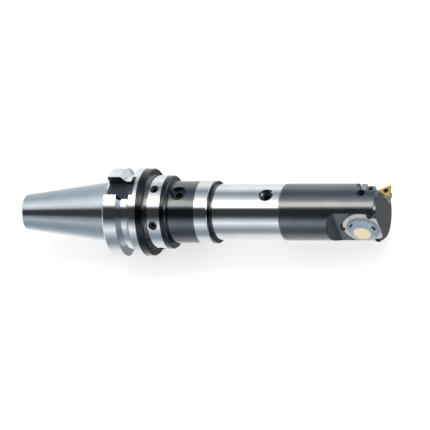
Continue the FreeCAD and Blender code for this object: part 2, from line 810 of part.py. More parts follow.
def make_slide():
    """The round slide: local x is the level from the tool's axis on the insert's side."""
    radius = given.slide_diameter / 2 - given.running_clearance
    inner = -given.slide_inner_end
    thread_radius = given.lead_screw_diameter / 2 + given.running_clearance
    bore_end = inner + given.slide_bore_depth
    chamfer = given.slide_chamfer
    seal_radius = radius - given.slide_seal_section - given.pin_clearance
    seal_start = given.slide_seal_level - given.slide_seal_section * 0.75
    seal_end = given.slide_seal_level + given.slide_seal_section * 0.75
    body = turn_body("slide", [
        (inner, thread_radius),
        (inner, radius - chamfer),
        (inner + chamfer, radius),
        (seal_start, radius),
        (seal_start, seal_radius),
        (seal_end, seal_radius),
        (seal_end, radius),
        (slide_shoulder - chamfer, radius),
        (slide_shoulder, radius - chamfer),
        (slide_shoulder, 0),
        (bore_end, 0),
        (bore_end, thread_radius),
    ])
    stem = add_sketch(body, "stem", "YZ_Plane", (0, 0, slide_shoulder))
    draw_circle(stem, (0, -given.stem_drop), given.stem_diameter / 2)
    raise_from(body, stem, given.stem_length)

    # The keyway and the flat for the lock pad leave room for the whole travel
    half_key = given.key_width / 2 + given.running_clearance
    half_way = given.key_length / 2
    floor = given.slide_diameter / 2 - given.key_depth
    keyway = add_sketch(body, "keyway", "XY_Plane", (0, 0, -floor))
    way_start = -(half_way + given.slide_travel_out + given.face_gap)
    way_end = half_way + given.slide_travel_in + given.face_gap
    draw_rectangle(keyway, way_start, -half_key, way_end, half_key)
    cut_from(body, keyway, given.slide_diameter)
    lock_radius = given.lock_screw_diameter / 2 + given.face_gap
    flat = add_sketch(body, "lock_flat", "XY_Plane", (0, 0, floor))
    flat_start = given.lock_screw_offset - lock_radius - given.slide_travel_out
    flat_end = given.lock_screw_offset + lock_radius + given.slide_travel_in
    draw_rectangle(flat, flat_start, -radius, flat_end, radius)
    cut_from(body, flat, given.slide_diameter, along_normal=True)
    return finish(body, (unit_x, 0, 0), OUT_PLUS_Y)


def make_slide_seal():
    ring = doc.addObject("Part::Torus", "slide_seal_ring")
    ring.Label = "slide_seal_ring"
    section = given.slide_seal_section
    bind(ring, "Radius1", given.slide_diameter / 2 - given.running_clearance - section / 2)
    bind(ring, "Radius2", section / 2)
    finish(ring, (unit_x, given.slide_seal_level, 0), FreeCAD.Rotation(Z_AXIS, Y_AXIS))


def make_slide_key():
    key = doc.addObject("Part::Box", "slide_key")
    key.Label = "slide_key"
    slide_radius = given.slide_diameter / 2
    floor = slide_radius - given.key_depth + given.face_gap
    bind(key, "Length", given.key_width)
    bind(key, "Width", given.key_length)
    bind(key, "Height", slide_radius + given.key_depth - floor)
    finish(key, (unit_x - given.key_width / 2, -given.key_length / 2, -(slide_radius + given.key_depth)))


def make_lock_screw():
    """The screw that locks the slide, on a soft pad that spares the slide."""
    pad_foot = given.slide_diameter / 2 - given.key_depth + given.face_gap
    pad_radius = given.lock_screw_diameter / 2 - given.running_clearance
    pad = cylinder("lock_pad", pad_radius, given.lock_pad_thickness)
    pad.Label = "lock_pad"
    finish(pad, (unit_x, given.lock_screw_offset, pad_foot))
    screw_top = pad_foot + given.lock_pad_thickness + given.face_gap + given.lock_screw_length
    screw = headless_screw("slide_lock_screw", given.lock_screw_diameter, given.lock_screw_length,
                           given.lock_socket_width, given.lock_socket_depth)
    finish(screw, (unit_x, given.lock_screw_offset, screw_top))


def make_lead_screw():
    """The lead screw: local x is the level from the tool's axis on the dial's side."""
    thread_radius = given.lead_screw_diameter / 2
    collar_radius_here = given.slide_diameter / 2 - given.running_clearance
    collar_top = given.dial_flat_level - given.thrust_washer_thickness - given.pin_clearance
    collar_foot = collar_top - given.lead_collar_width
    journal_radius = given.lead_journal_diameter / 2
    journal_top = dial_level()
    body = turn_body("lead_screw", [
        (-given.lead_screw_reach, 0),
        (-given.lead_screw_reach, thread_radius - given.slide_chamfer),
        (given.slide_chamfer - given.lead_screw_reach, thread_radius),
        (collar_foot, thread_radius),
        (collar_foot, collar_radius_here),
        (collar_top, collar_radius_here),
        (collar_top, journal_radius),
        (journal_top, journal_radius),
        (journal_top, thread_radius),
        (cap_seat_level(), thread_radius),
        (cap_seat_level(), 0),
    ])
    return finish(body, (unit_x, 0, 0), OUT_MINUS_Y)


def make_thrust_parts():
    washer = tube("thrust_washer", given.slide_diameter / 2 - given.running_clearance,
                  given.lead_journal_diameter / 2 + given.running_clearance, given.thrust_washer_thickness)
    out_of_flat = FreeCAD.Rotation(Z_AXIS, -Y_AXIS)
    finish(washer, (unit_x, -(given.dial_flat_level - given.thrust_washer_thickness), 0), out_of_flat)
    ring_radius = given.slide_diameter / 2 + given.ring_groove_depth - given.running_clearance
    ring = tube("retaining_ring", ring_radius, ring_radius - given.ring_wall, given.ring_thickness)
    finish(ring, (unit_x, -(ring_outer_level() - given.ring_thickness), 0), out_of_flat)


# Bearing flange, its screws, and the dial

def dial_level():
    return given.dial_flat_level + given.bearing_flange_thickness + given.dial_gap


def boss_level():
    return dial_level() + given.dial_rim + given.bevel_height


def dial_top_level():
    return boss_level() + given.boss_height


def cap_seat_level():
    return dial_top_level() + given.cap_stand - given.cap_thickness


def make_bearing_flange():
    """A round flange on the flat, trimmed to the head's own round and to its front face."""
    radius = given.bearing_flange_diameter / 2
    foot = given.dial_flat_level
    top = foot + given.bearing_flange_thickness
    journal_radius = given.lead_journal_diameter / 2 + given.running_clearance
    disc = cylinder("bearing_disc", radius, given.bearing_flange_thickness, (0, 0, foot))
    envelope = cylinder("bearing_envelope", head_radius - given.black_undercut, given.head_length,
                        (given.unit_setback - given.holder_front - given.head_length, 0, 0),
                        FreeCAD.Rotation(Z_AXIS, X_AXIS))
    trimmed = doc.addObject("Part::Common", "bearing_trimmed")
    trimmed.Base = disc
    trimmed.Tool = envelope
    holes = [cylinder("bearing_journal_hole", journal_radius, top + BEYOND)]
    seat_depth = given.flange_screw_head_height
    seat_radius = given.flange_screw_head_diameter / 2 + given.face_gap
    hole_radius = given.flange_screw_diameter / 2 + given.face_gap
    for index, (along, across) in enumerate(flange_screw_places()):
        number = index + 1
        holes.append(cylinder("bearing_screw_seat_%d" % number, seat_radius, seat_depth + BEYOND,
                              (along, across, top - seat_depth)))
        holes.append(cylinder("bearing_screw_hole_%d" % number, hole_radius, top + BEYOND,
                              (along, across, 0)))
    flange = subtract("bearing_flange", trimmed, join("bearing_holes", holes))
    return finish(flange, (unit_x, 0, 0), TURN_TO_DIAL)


def make_flange_screws():
    top = given.dial_flat_level + given.bearing_flange_thickness
    head_height = given.flange_screw_head_height
    length = given.flange_screw_length
    shank_radius = given.flange_screw_diameter / 2 - given.pin_clearance
    under_head = (0, 0, -head_height)
    screws = []
    for index, (along, across) in enumerate(flange_screw_places()):
        name = "flange_screw_%d" % (index + 1)
        head = cylinder(name + "_head", given.flange_screw_head_diameter / 2, head_height, under_head)
        shank = cylinder(name + "_shank", shank_radius, length, (0, 0, -length))
        socket = hexagon(name + "_socket", given.flange_screw_socket, head_height + BEYOND, under_head)
        screw = subtract(name, join(name + "_solid", [head, shank]), socket)
        place(screw, (unit_x + along, -top, across), TURN_TO_DIAL)
        screws.append(screw)
    return gather("flange_screws", screws)


def make_dial():
    """The dial: a low rim, a bevel for the graduations and a raised boss that holds the cap."""
    base = dial_level()
    rim_radius = given.dial_diameter / 2
    screw_radius = given.lead_screw_diameter / 2 + given.pin_clearance
    cap_radius = given.cap_diameter / 2 + given.pin_clearance
    boss_foot = given.boss_foot_diameter / 2
    body = turn_body("dial", [
        (base, screw_radius),
        (base, rim_radius),
        (base + given.dial_rim, rim_radius),
        (boss_level(), boss_foot),
        (dial_top_level(), given.boss_top_diameter / 2),
        (dial_top_level(), cap_radius),
        (cap_seat_level(), cap_radius),
        (cap_seat_level(), screw_radius),
    ])
    # Three slots in the bevel take the pins of the wrench that turns the dial
    slot = add_sketch(body, "wrench_slot", "YZ_Plane", (0, 0, boss_level()), (Z_AXIS, given.dial_slot_start))
    half_length = given.dial_slot_length / 2
    slot_inner = (given.dial_slot_circle - given.dial_slot_width) / 2
    slot_outer = slot_inner + given.dial_slot_width
    draw_rectangle(slot, slot_inner, -half_length, slot_outer, half_length)
    repeat_round(body, cut_from(body, slot, given.dial_slot_depth), given.dial_slot_count)
    screw_level = base + given.dial_screw_level
    drill(body, "dial_screw_hole", "XY_Plane", (screw_level, 0), given.dial_screw_diameter / 2,
          -rim_radius, rim_radius, along_normal=True)
    return finish(body, (unit_x, 0, 0), OUT_MINUS_Y)


def make_dial_cap():
    radius = given.cap_diameter / 2
    top = cap_seat_level() + given.cap_thickness
    chamfer = given.cap_stand
    body = turn_body("dial_cap", [
        (cap_seat_level(), 0),
        (cap_seat_level(), radius),
        (top - chamfer, radius),
        (top, radius - chamfer),
        (top, 0),
    ])
    return finish(body, (unit_x, 0, 0), OUT_MINUS_Y)


def make_dial_set_screw():
    """A small screw in the dial's rim that holds the dial to the lead screw."""
    level = dial_level() + given.dial_screw_level
    foot = given.lead_screw_diameter / 2 + given.face_gap
    length = given.dial_screw_length
    screw = headless_screw("dial_set_screw", given.dial_screw_diameter - 2 * given.pin_clearance, length,
                           given.dial_screw_diameter / 2, length / 2)
    finish(screw, (unit_x, -level, -(foot + length)), FreeCAD.Rotation(X_AXIS, 180))


# Insert, insert holder and their screws: x is measured from the head's front face

def insert_corners(grow=0):
    """The insert's tip, back and inner corners; grow moves each edge outwards."""
    edge = given.insert_edge
    lead = given.insert_lead_angle
    reach = edge / math.sqrt(3)
    tip = (given.tip_lead, given.tip_radius)
    middle = (tip[0] - reach * cosine(60 - lead), tip[1] - reach * sine(60 - lead))
    corner_reach = reach + 2 * grow
    corners = []
    for turn in (60, 180, 300):
        towards = turn - lead
        corners.append((middle[0] + corner_reach * cosine(towards), middle[1] + corner_reach * sine(towards)))
    return middle, corners


def make_insert_holder():
    body = new_body("insert_holder")
    rear = -given.holder_rear
    front = -given.holder_front
    inner = slide_shoulder + given.holder_gap
    outer = given.holder_outer
    middle, corners = insert_corners(given.insert_pocket_clearance)
    tip, back = corners[0], corners[1]
    slope = (tip[1] - back[1]) / (tip[0] - back[0])
    nose_y = tip[1] + (front - tip[0]) * slope - given.nose_setback
    shoulder_x = front - (nose_y - outer) / slope

    base = add_sketch(body, "holder_base", "XY_Plane", (0, 0, -given.holder_floor))
    draw_outline(base, [(rear, inner), (front, inner), (front, nose_y), (shoulder_x, outer), (rear, outer)])
    raise_from(body, base, given.holder_floor - given.holder_deck)
    rear_block = add_sketch(body, "holder_rear_block", "XY_Plane", (0, 0, -given.holder_deck))
    block_end = -given.holder_back_length
    draw_rectangle(rear_block, rear, inner, block_end, outer)
    raise_from(body, rear_block, given.holder_deck + given.holder_top)
    crown = add_sketch(body, "holder_crown_block", "XY_Plane", (0, 0, given.holder_top))
    crown_end = rear + given.holder_crown_length
    draw_rectangle(crown, rear, inner, crown_end, outer)
    raise_from(body, crown, given.holder_crown - given.holder_top)

    pocket = add_sketch(body, "insert_pocket", "XY_Plane", (0, 0, -given.insert_thickness))
    draw_outline(pocket, corners)
    cut_from(body, pocket, given.holder_floor, along_normal=True)
    drill(body, "insert_screw_hole", "XY_Plane", middle,
          given.insert_screw_diameter / 2 + given.pin_clearance, -given.insert_thickness, given.holder_floor)
    drill(body, "stem_bore", "XZ_Plane", (-given.unit_setback, -given.stem_drop),
          given.stem_diameter / 2 + given.pin_clearance, -inner + BEYOND, given.stem_length + BEYOND)
    screw_y = inner + given.holder_screw_level
    drill(body, "holder_screw_hole", "XY_Plane", (-given.unit_setback, screw_y),
          given.holder_screw_diameter / 2 + given.running_clearance, given.holder_crown, given.holder_crown)
    return finish(body, (head_front, 0, 0))


def make_insert():
    """A three-cornered insert with a positive clearance; its rake face lies on z = 0."""
    body = new_body("insert")
    middle, corners = insert_corners()
    face = add_sketch(body, "rake_face", "XY_Plane")
    draw_outline(face, corners)
    plate = raise_from(body, face, given.insert_thickness, against_normal=True)
    bind(plate, "TaperAngle", -given.insert_clearance_angle)
    doc.recompute()
    sides = [
        "Edge%d" % (index + 1) for index, edge in enumerate(plate.Shape.Edges)
        if abs(edge.Vertexes[0].Z - edge.Vertexes[-1].Z) > number_of(given.insert_thickness) / 2
    ]
    rounding = body.newObject("PartDesign::Fillet", "insert_corner_rounding")
    rounding.Base = (plate, sides)
    bind(rounding, "Radius", given.insert_corner_radius)
    drill(body, "insert_hole", "XY_Plane", middle, given.insert_hole_diameter / 2, BEYOND,
          given.insert_thickness + 2 * BEYOND)
    head_radius_here = given.insert_screw_head_diameter / 2 + given.face_gap
    taper = body.newObject("PartDesign::SubtractiveCone", "insert_countersink")
    bind(taper, "Radius1", given.insert_screw_diameter / 2 + given.face_gap)
    bind(taper, "Radius2", head_radius_here)
    bind(taper, "Height", given.insert_screw_head_height)
    place(taper, (middle[0], middle[1], -given.insert_screw_head_height))
    return finish(body, (head_front, 0, 0))


def make_insert_screw():
    middle, _ = insert_corners()
    head_height = given.insert_screw_head_height
    length = given.insert_screw_length
    radius = given.insert_screw_diameter / 2
    under_head = (0, 0, -head_height)
    head = cone("insert_screw_head", radius, given.insert_screw_head_diameter / 2, head_height, under_head)
    shank = cylinder("insert_screw_shank", radius - given.pin_clearance, length, (0, 0, -length))
    socket = hexagon("insert_screw_socket_cut", given.insert_screw_socket, head_height + BEYOND, under_head)
    screw = subtract("insert_screw", join("insert_screw_solid", [head, shank]), socket)
    finish(screw, (head_front + middle[0], middle[1], -given.face_gap))


def make_holder_screw():
    """The screw that clamps the insert holder on the slide's stem."""
    stem_top = given.stem_diameter / 2 - given.stem_drop
    screw = headless_screw("holder_screw", given.holder_screw_diameter, given.holder_screw_length,
                           given.holder_screw_socket, given.holder_screw_length / 2)
    screw_y = slide_shoulder + given.holder_gap + given.holder_screw_level
    finish(screw, (unit_x, screw_y, stem_top + given.face_gap + given.holder_screw_length))


make_basic_holder()
make_balance_screws()
make_clamp_screws("holder", holder_clamp_x, neck_radius)
make_extension_bar()
make_clamp_pin("extension_clamp_pin", holder_clamp_x)
make_drive_pin("extension_drive_pin", holder_face)
make_seal("extension_seal_ring", holder_face - given.seal_setback)
make_clamp_screws("extension", extension_clamp_x, bar_radius)
make_head_body()
make_clamp_pin("head_clamp_pin", extension_clamp_x)
make_drive_pin("head_drive_pin", bar_face)
make_seal("head_seal_ring", bar_face - given.seal_setback)
make_slide()
make_slide_seal()
make_slide_key()
make_lock_screw()
make_lead_screw()
make_thrust_parts()
make_bearing_flange()
make_flange_screws()
make_dial()
make_dial_cap()
make_dial_set_screw()
make_insert_holder()
make_insert()
make_insert_screw()
make_holder_screw()
doc.recompute()

# Nothing is written unless every object and every finished piece is sound

for item in doc.Objects:
    faults = [state for state in item.State if state in ("Invalid", "Error")]
    if faults:
        raise RuntimeError("%s is %s" % (item.Label, ", ".join(faults)))
for label, item in finished.items():
    if item.Shape.isNull() or not item.Shape.isValid() or not item.Shape.Solids:
        raise RuntimeError("%s has no valid solid" % label)

os.makedirs("parts", exist_ok=True)
for label, item in finished.items():
    item.Shape.exportStep("parts/%s.step" % label)
    print("%-24s %d solid(s)  %10.1f mm3" % (label, len(item.Shape.Solids), item.Shape.Volume))
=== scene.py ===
import math

import bmesh
import bpy
from mathutils import Matrix, Vector

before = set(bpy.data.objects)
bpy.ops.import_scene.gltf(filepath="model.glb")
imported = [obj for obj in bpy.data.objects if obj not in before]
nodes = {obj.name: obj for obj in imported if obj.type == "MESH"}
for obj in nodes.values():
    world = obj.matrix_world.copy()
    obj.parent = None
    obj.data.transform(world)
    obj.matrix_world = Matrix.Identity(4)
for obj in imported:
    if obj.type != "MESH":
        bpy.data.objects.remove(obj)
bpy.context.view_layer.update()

scene = bpy.context.scene

# Sizes of the solids, in metres, that the finishes and the camera follow
MM = 0.001
HEAD_FRONT = 204.1 * MM
HEAD_REAR = 131.6 * MM
FLANGE_RADIUS = 31.5 * MM
SLOT_START = 1.9 * MM
SLOT_END = 24.45 * MM
SLOT_HALF = 8.08 * MM
SLOT_FLOOR = 22.3 * MM
DIAL_AXIS = 191.9 * MM
DIAL_RADIUS = 11.8 * MM
BEVEL_LEVEL = 15.95 * MM
BEVEL_SLOPE = 2.0 / 2.8

# Blackened zones of the bright pieces: start and end along the tool and least radius, in mm
FLANGE_RING = (27.0, 33.1, 26.6)
NECK = (43.7, 68.2, 11.5)
# Painted shade: within these zones, and on the whole bar shoulder, the rings take a darker black
FLANGE_AND_COLLAR_RINGS = (27.0, 47.3, 22.6)
BAR_SHOULDER = (78.31, 81.0, 20.05)

# Colours
WHITE = (1.0, 1.0, 1.0, 1.0)
STEEL = (0.60, 0.65, 0.69, 1.0)
BLACK_OXIDE = (0.085, 0.102, 0.122, 1.0)
BLACK_WORN = (0.115, 0.135, 0.158, 1.0)
HEAD_BLACK = (0.108, 0.127, 0.148, 1.0)
HEAD_WORN = (0.133, 0.152, 0.172, 1.0)
# Painted shade: a darker copy of the blackening for the rings
SHADED_RING_BLACK = (0.030, 0.036, 0.042, 1.0)
SLOT_GREY = (0.072, 0.086, 0.108, 1.0)
# A warm light colour for the painted highlight on the head's rear edge
REAR_EDGE_HIGHLIGHT = (0.42, 0.36, 0.29, 1.0)
# The colour of the engraved lines, also painted as shade into the dial's wrench slots
ENGRAVED_AND_SHADE = (0.05, 0.06, 0.07, 1.0)
SCREW_BLACK = (0.06, 0.065, 0.075, 1.0)
DIAL_BLUE = (0.36, 0.46, 0.56, 1.0)
CAP_CREAM = (0.92, 0.80, 0.52, 1.0)
SATIN_GREY = (0.66, 0.66, 0.66, 1.0)
INSERT_GOLD = (0.66, 0.42, 0.10, 1.0)
BRASS = (0.72, 0.54, 0.24, 1.0)
RUBBER = (0.02, 0.02, 0.02, 1.0)
FLOOR_GREY = (0.55, 0.55, 0.55, 1.0)

# Marks left by grinding and turning: waves per metre, their stretch round the tool and their depth
GROUND_WAVES = 9000.0
TURNED_WAVES = 6000.0
RING_DETAIL = 4.0
RING_STRETCH = (1.0, 0.015, 0.015)
GROUND_DEPTH = 0.0012 * MM
TURNED_DEPTH = 0.0010 * MM

# Smudges, worn patches and painted highlight patches: waves per metre with their detail, and the levels
# between which each grows
STEEL_SMUDGE = (55.0, 4.0)
STEEL_WEAR = [(0.35, 0.0), (0.70, 1.0)]
ZONE_SMUDGE = (60.0, 4.0)
ZONE_WEAR = [(0.36, 0.0), (0.72, 1.0)]
HEAD_PATCH = (70.0, 5.0)
HEAD_WEAR = [(0.38, 0.0), (0.72, 1.0)]
# The painted highlight on the head's rear edge, broken into patches
EDGE_HIGHLIGHT_PATCH = (240.0, 3.0)
EDGE_HIGHLIGHT_LEVELS = [(0.30, 0.25), (0.62, 1.0)]
GRAIN_DETAIL = 5.0
SMUDGED_SHARE = 0.90
GRAINED_SHARE = 0.82

# Roughness: each finish's least, and what its smudges, rings, grain, blackening and slots add
STEEL_LEAST = 0.13
STEEL_SMUDGE_ADDS = 0.10
STEEL_RINGS_ADD = 0.06
HEAD_LEAST = 0.07
HEAD_PATCH_ADDS = 0.08
ZONE_LEAST = 0.045
ZONE_SMUDGE_ADDS = 0.05
ZONE_RINGS_ADD = 0.04
BLACKENING_ADDS = 0.06
SLOT_ADDS = 0.28
GRAIN_ADDS = 0.12
HEAD_METALLIC = 0.92

# The painted highlight along the head's rear edge: its width and the least radius where it shows
EDGE_HIGHLIGHT_WIDTH = 0.55 * MM
EDGE_HIGHLIGHT_RADIUS = 19.6 * MM

# The dial's lines: how many and from which radius, their width as a share of a turn, its wrench slots
DIAL_LINES = ((50.0, 10.9 * MM), (10.0, 10.2 * MM))
LINE_WIDTH = 0.0026
# The wrench slots, painted dark as shade: their radii and how far they sink below the bevel
WRENCH_SLOT = (8.8 * MM, 10.35 * MM)
WRENCH_SLOT_DEPTH = 0.1 * MM

# The index line on the bearing flange, 120 degrees round from the front
INDEX_ALONG = (-0.5, 0.0, 0.866)
INDEX_ACROSS = (0.866, 0.0, 0.5)
INDEX_HALF = 0.16 * MM
INDEX_START = 12.0 * MM


# Sockets of the colour mix, which share their names with those of its other kinds
MIX_FACTOR = 0
MIX_FIRST = 6
MIX_SECOND = 7
MIX_RESULT = 2


class Graph:
    """A node tree with short calls for the nodes that the finishes and the studio use."""

    def __init__(self, tree):
        self.tree = tree
        self.tree.nodes.clear()

    def node(self, kind, **settings):
        made = self.tree.nodes.new(kind)
        for key, value in settings.items():
            setattr(made, key, value)
        return made

    def feed(self, socket, value):
        """Link another node's output to the socket, or set a plain value."""
        if isinstance(value, bpy.types.NodeSocket):
            self.tree.links.new(value, socket)
        else:
            socket.default_value = value

    def math(self, operation, *values):
        made = self.node("ShaderNodeMath", operation=operation)
        for socket, value in zip(made.inputs, values):
            self.feed(socket, value)
        return made.outputs[0]

    def above(self, value, limit):
        return self.math("GREATER_THAN", value, limit)

    def below(self, value, limit):
        return self.math("LESS_THAN", value, limit)

    def within(self, value, half):
        return self.below(self.math("ABSOLUTE", value), half)

    def both(self, first, *others):
        """One where every mask is one."""
        for other in others:
            first = self.math("MULTIPLY", first, other)
        return first

    def either(self, first, *others):
        """One where any mask is one."""
        for other in others:
            first = self.math("MAXIMUM", first, other)
        return first

    def between(self, value, low, high):
        return self.both(self.above(value, low), self.below(value, high))

    def vector_math(self, operation, vector, constant):
        made = self.node("ShaderNodeVectorMath", operation=operation)
        self.feed(made.inputs[0], vector)
        self.feed(made.inputs[1], constant)
        return made.outputs

    def dot(self, vector, axis):
        return self.vector_math("DOT_PRODUCT", vector, axis)["Value"]

    def apart(self, vector):
        made = self.node("ShaderNodeSeparateXYZ")
        self.feed(made.inputs[0], vector)
        return made.outputs[:]

    def distance(self, first, second):
        """Distance from the axis that the two coordinates go round."""
        squares = [self.math("POWER", value, 2.0) for value in (first, second)]
        return self.math("SQRT", self.math("ADD", *squares))

    def mix(self, factor, first, second):
        made = self.node("ShaderNodeMix", data_type="RGBA")
        for index, value in ((MIX_FACTOR, factor), (MIX_FIRST, first), (MIX_SECOND, second)):
            self.feed(made.inputs[index], value)
        return made.outputs[MIX_RESULT]

    def ramp(self, factor, stops):
        made = self.node("ShaderNodeValToRGB")
        elements = made.color_ramp.elements
        while len(elements) < len(stops):
            elements.new(0.5)
        for element, (position, value) in zip(elements, stops):
            element.position = position
            element.color = (value, value, value, 1.0) if isinstance(value, float) else value
        self.feed(made.inputs[0], factor)
        return made.outputs[0]

    def fade(self, value, start, end):
        """Rises from zero at the start to one at the end."""
        made = self.node("ShaderNodeMapRange")
        self.feed(made.inputs["From Min"], start)
        self.feed(made.inputs["From Max"], end)
        self.feed(made.inputs["Value"], value)
        return made.outputs[0]


class Shader(Graph):
    """A material built node by node."""

    def __init__(self, name):
        self.material = bpy.data.materials.new(name)
        self.material.use_nodes = True
        super().__init__(self.material.node_tree)
        self.out = self.node("ShaderNodeOutputMaterial")

    def coordinates(self):
        return self.node("ShaderNodeTexCoord").outputs["Object"]

    def noise(self, vector, scale, detail, stretch=None):
        if stretch:
            mapping = self.node("ShaderNodeMapping")
            self.feed(mapping.inputs["Scale"], stretch)
            self.feed(mapping.inputs["Vector"], vector)
            vector = mapping.outputs[0]
        made = self.node("ShaderNodeTexNoise")
        self.feed(made.inputs["Scale"], scale)
        self.feed(made.inputs["Detail"], detail)
        self.feed(made.inputs["Vector"], vector)
        return made.outputs["Fac"]

    def rings(self, vector, waves):
        """Fine rings left by turning and grinding: they vary along the tool and hardly round it."""
        return self.noise(vector, waves, RING_DETAIL, RING_STRETCH)

    def roughness(self, least, *marks):
        """The least roughness and what is added to it, given as pairs of a mark and its share."""
        total = least
        for mark, share in marks:
            total = self.math("MULTIPLY_ADD", mark, share, total)
        return total

    def bump(self, height, distance):
        made = self.node("ShaderNodeBump")
        self.feed(made.inputs["Strength"], 1.0)
        self.feed(made.inputs["Distance"], distance)
        self.feed(made.inputs["Height"], height)
        return made.outputs[0]

    def surface(self, colour, metallic, roughness, normal=None):
        made = self.node("ShaderNodeBsdfPrincipled")
        self.feed(made.inputs["Base Color"], colour)
        self.feed(made.inputs["Metallic"], metallic)
        self.feed(made.inputs["Roughness"], roughness)
        if normal:
            self.feed(made.inputs["Normal"], normal)
        return made.outputs[0]

    def finish(self, surface):
        self.feed(self.out.inputs["Surface"], surface)
        return self.material


def darker(colour, share):
    return tuple(share * part for part in colour[:3]) + (1.0,)


def steel(name):
    """Bright ground steel with a faint smudge."""
    shader = Shader(name)
    where = shader.coordinates()
    rings = shader.rings(where, GROUND_WAVES)
    smudge = shader.noise(where, *STEEL_SMUDGE)
    patches = shader.ramp(smudge, STEEL_WEAR)
    tint = shader.mix(patches, STEEL, darker(STEEL, SMUDGED_SHARE))
    rough = shader.roughness(STEEL_LEAST, (smudge, STEEL_SMUDGE_ADDS), (rings, STEEL_RINGS_ADD))
    return shader.finish(shader.surface(tint, 1.0, rough, shader.bump(rings, GROUND_DEPTH)))


def black_oxide(name):
    """Blackened steel, with a painted highlight along its rear edge, where it meets the bar."""
    shader = Shader(name)
    where = shader.coordinates()
    along, aside, up = shader.apart(where)
    rings = shader.rings(where, TURNED_WAVES)
    patch = shader.noise(where, *HEAD_PATCH)
    tint = shader.mix(shader.ramp(patch, HEAD_WEAR), HEAD_BLACK, HEAD_WORN)
    edge = shader.both(shader.below(along, HEAD_REAR + EDGE_HIGHLIGHT_WIDTH),
                       shader.above(shader.distance(aside, up), EDGE_HIGHLIGHT_RADIUS))
    patches = shader.ramp(shader.noise(where, *EDGE_HIGHLIGHT_PATCH), EDGE_HIGHLIGHT_LEVELS)
    # Painted highlight: a warm light colour in patches along the rear edge
    tint = shader.mix(shader.both(edge, patches), tint, REAR_EDGE_HIGHLIGHT)
    rough = shader.roughness(HEAD_LEAST, (patch, HEAD_PATCH_ADDS))
    return shader.finish(shader.surface(tint, HEAD_METALLIC, rough, shader.bump(rings, TURNED_DEPTH)))


def zoned(name, zones, darkest, slots=False):
    """Bright ground steel, blackened zones with painted shade on their rings and, where asked, dark grey
    drive slots.
    """
    shader = Shader(name)
    where = shader.coordinates()
    along, aside, up = shader.apart(where)
    radius = shader.distance(aside, up)

    def inside(start, end, least):
        return shader.both(shader.between(along, start * MM, end * MM), shader.above(radius, least * MM))

    black = shader.either(*[inside(*zone) for zone in zones])
    if slots:
        in_slot = shader.both(shader.between(along, SLOT_START, SLOT_END), shader.within(aside, SLOT_HALF),
                              shader.above(shader.math("ABSOLUTE", up), SLOT_FLOOR))
        black = shader.either(black, in_slot)
    rings = shader.rings(where, GROUND_WAVES)
    smudge = shader.noise(where, *ZONE_SMUDGE)
    patches = shader.ramp(smudge, ZONE_WEAR)
    bright = shader.mix(patches, STEEL, darker(STEEL, SMUDGED_SHARE))
    dark = shader.mix(patches, BLACK_OXIDE, BLACK_WORN)
    # Painted shade: the rings take the darker black
    dark = shader.mix(inside(*darkest), dark, SHADED_RING_BLACK)
    tint = shader.mix(black, bright, dark)
    marks = [(black, BLACKENING_ADDS)]
    if slots:
        # The drive slots take a darker grey than the blackening around them
        tint = shader.mix(in_slot, tint, SLOT_GREY)
        marks.append((in_slot, SLOT_ADDS))
    marks += [(smudge, ZONE_SMUDGE_ADDS), (rings, ZONE_RINGS_ADD)]
    rough = shader.roughness(ZONE_LEAST, *marks)
    return shader.finish(shader.surface(tint, 1.0, rough, shader.bump(rings, GROUND_DEPTH)))


def grained(name, colour, roughness, metallic=1.0, grain=400.0, depth=0.004 * MM, marks=None):
    """A satin finish with a fine grain and, where given, dark marks worked out from the place."""
    shader = Shader(name)
    where = shader.coordinates()
    height = shader.noise(where, grain, GRAIN_DETAIL)
    tint = shader.mix(height, colour, darker(colour, GRAINED_SHARE))
    if marks:
        from_dial = shader.vector_math("SUBTRACT", where, (DIAL_AXIS, 0.0, 0.0))[0]
        tint = shader.mix(marks(shader, from_dial), tint, ENGRAVED_AND_SHADE)
    rough = shader.roughness(roughness - GRAIN_ADDS / 2, (height, GRAIN_ADDS))
    return shader.finish(shader.surface(tint, metallic, rough, shader.bump(height, depth)))


def graduations(shader, place):
    """Fifty lines round the dial's bevel, every fifth one longer, and painted shade in the wrench slots."""
    along, out, up = shader.apart(place)
    radius = shader.distance(along, up)
    turn = shader.math("MULTIPLY_ADD", shader.math("ARCTAN2", up, along), 0.5 / math.pi, 0.5)
    lines = []
    for count, start in DIAL_LINES:
        share = shader.math("FRACT", shader.math("MULTIPLY", turn, count))
        line = shader.within(shader.math("SUBTRACT", share, 0.5), LINE_WIDTH * count)
        lines.append(shader.both(line, shader.above(radius, start)))
    inward = shader.math("SUBTRACT", DIAL_RADIUS, radius)
    bevel = shader.math("MULTIPLY_ADD", inward, BEVEL_SLOPE, BEVEL_LEVEL)
    # Painted shade: the wrench slots sunk below the bevel are coloured dark
    sunk = shader.above(shader.math("ADD", bevel, out), WRENCH_SLOT_DEPTH)
    slot = shader.both(sunk, shader.between(radius, *WRENCH_SLOT))
    return shader.either(*lines, slot)


def index_line(shader, place):
    """One line on the bearing flange, beside the dial and between two of its screws."""
    near = shader.within(shader.dot(place, INDEX_ACROSS), INDEX_HALF)
    return shader.both(near, shader.above(shader.dot(place, INDEX_ALONG), INDEX_START))


def dress(item, material):
    for slot in item.material_slots:
        slot.material = material
    if not item.material_slots:
        item.data.materials.append(material)


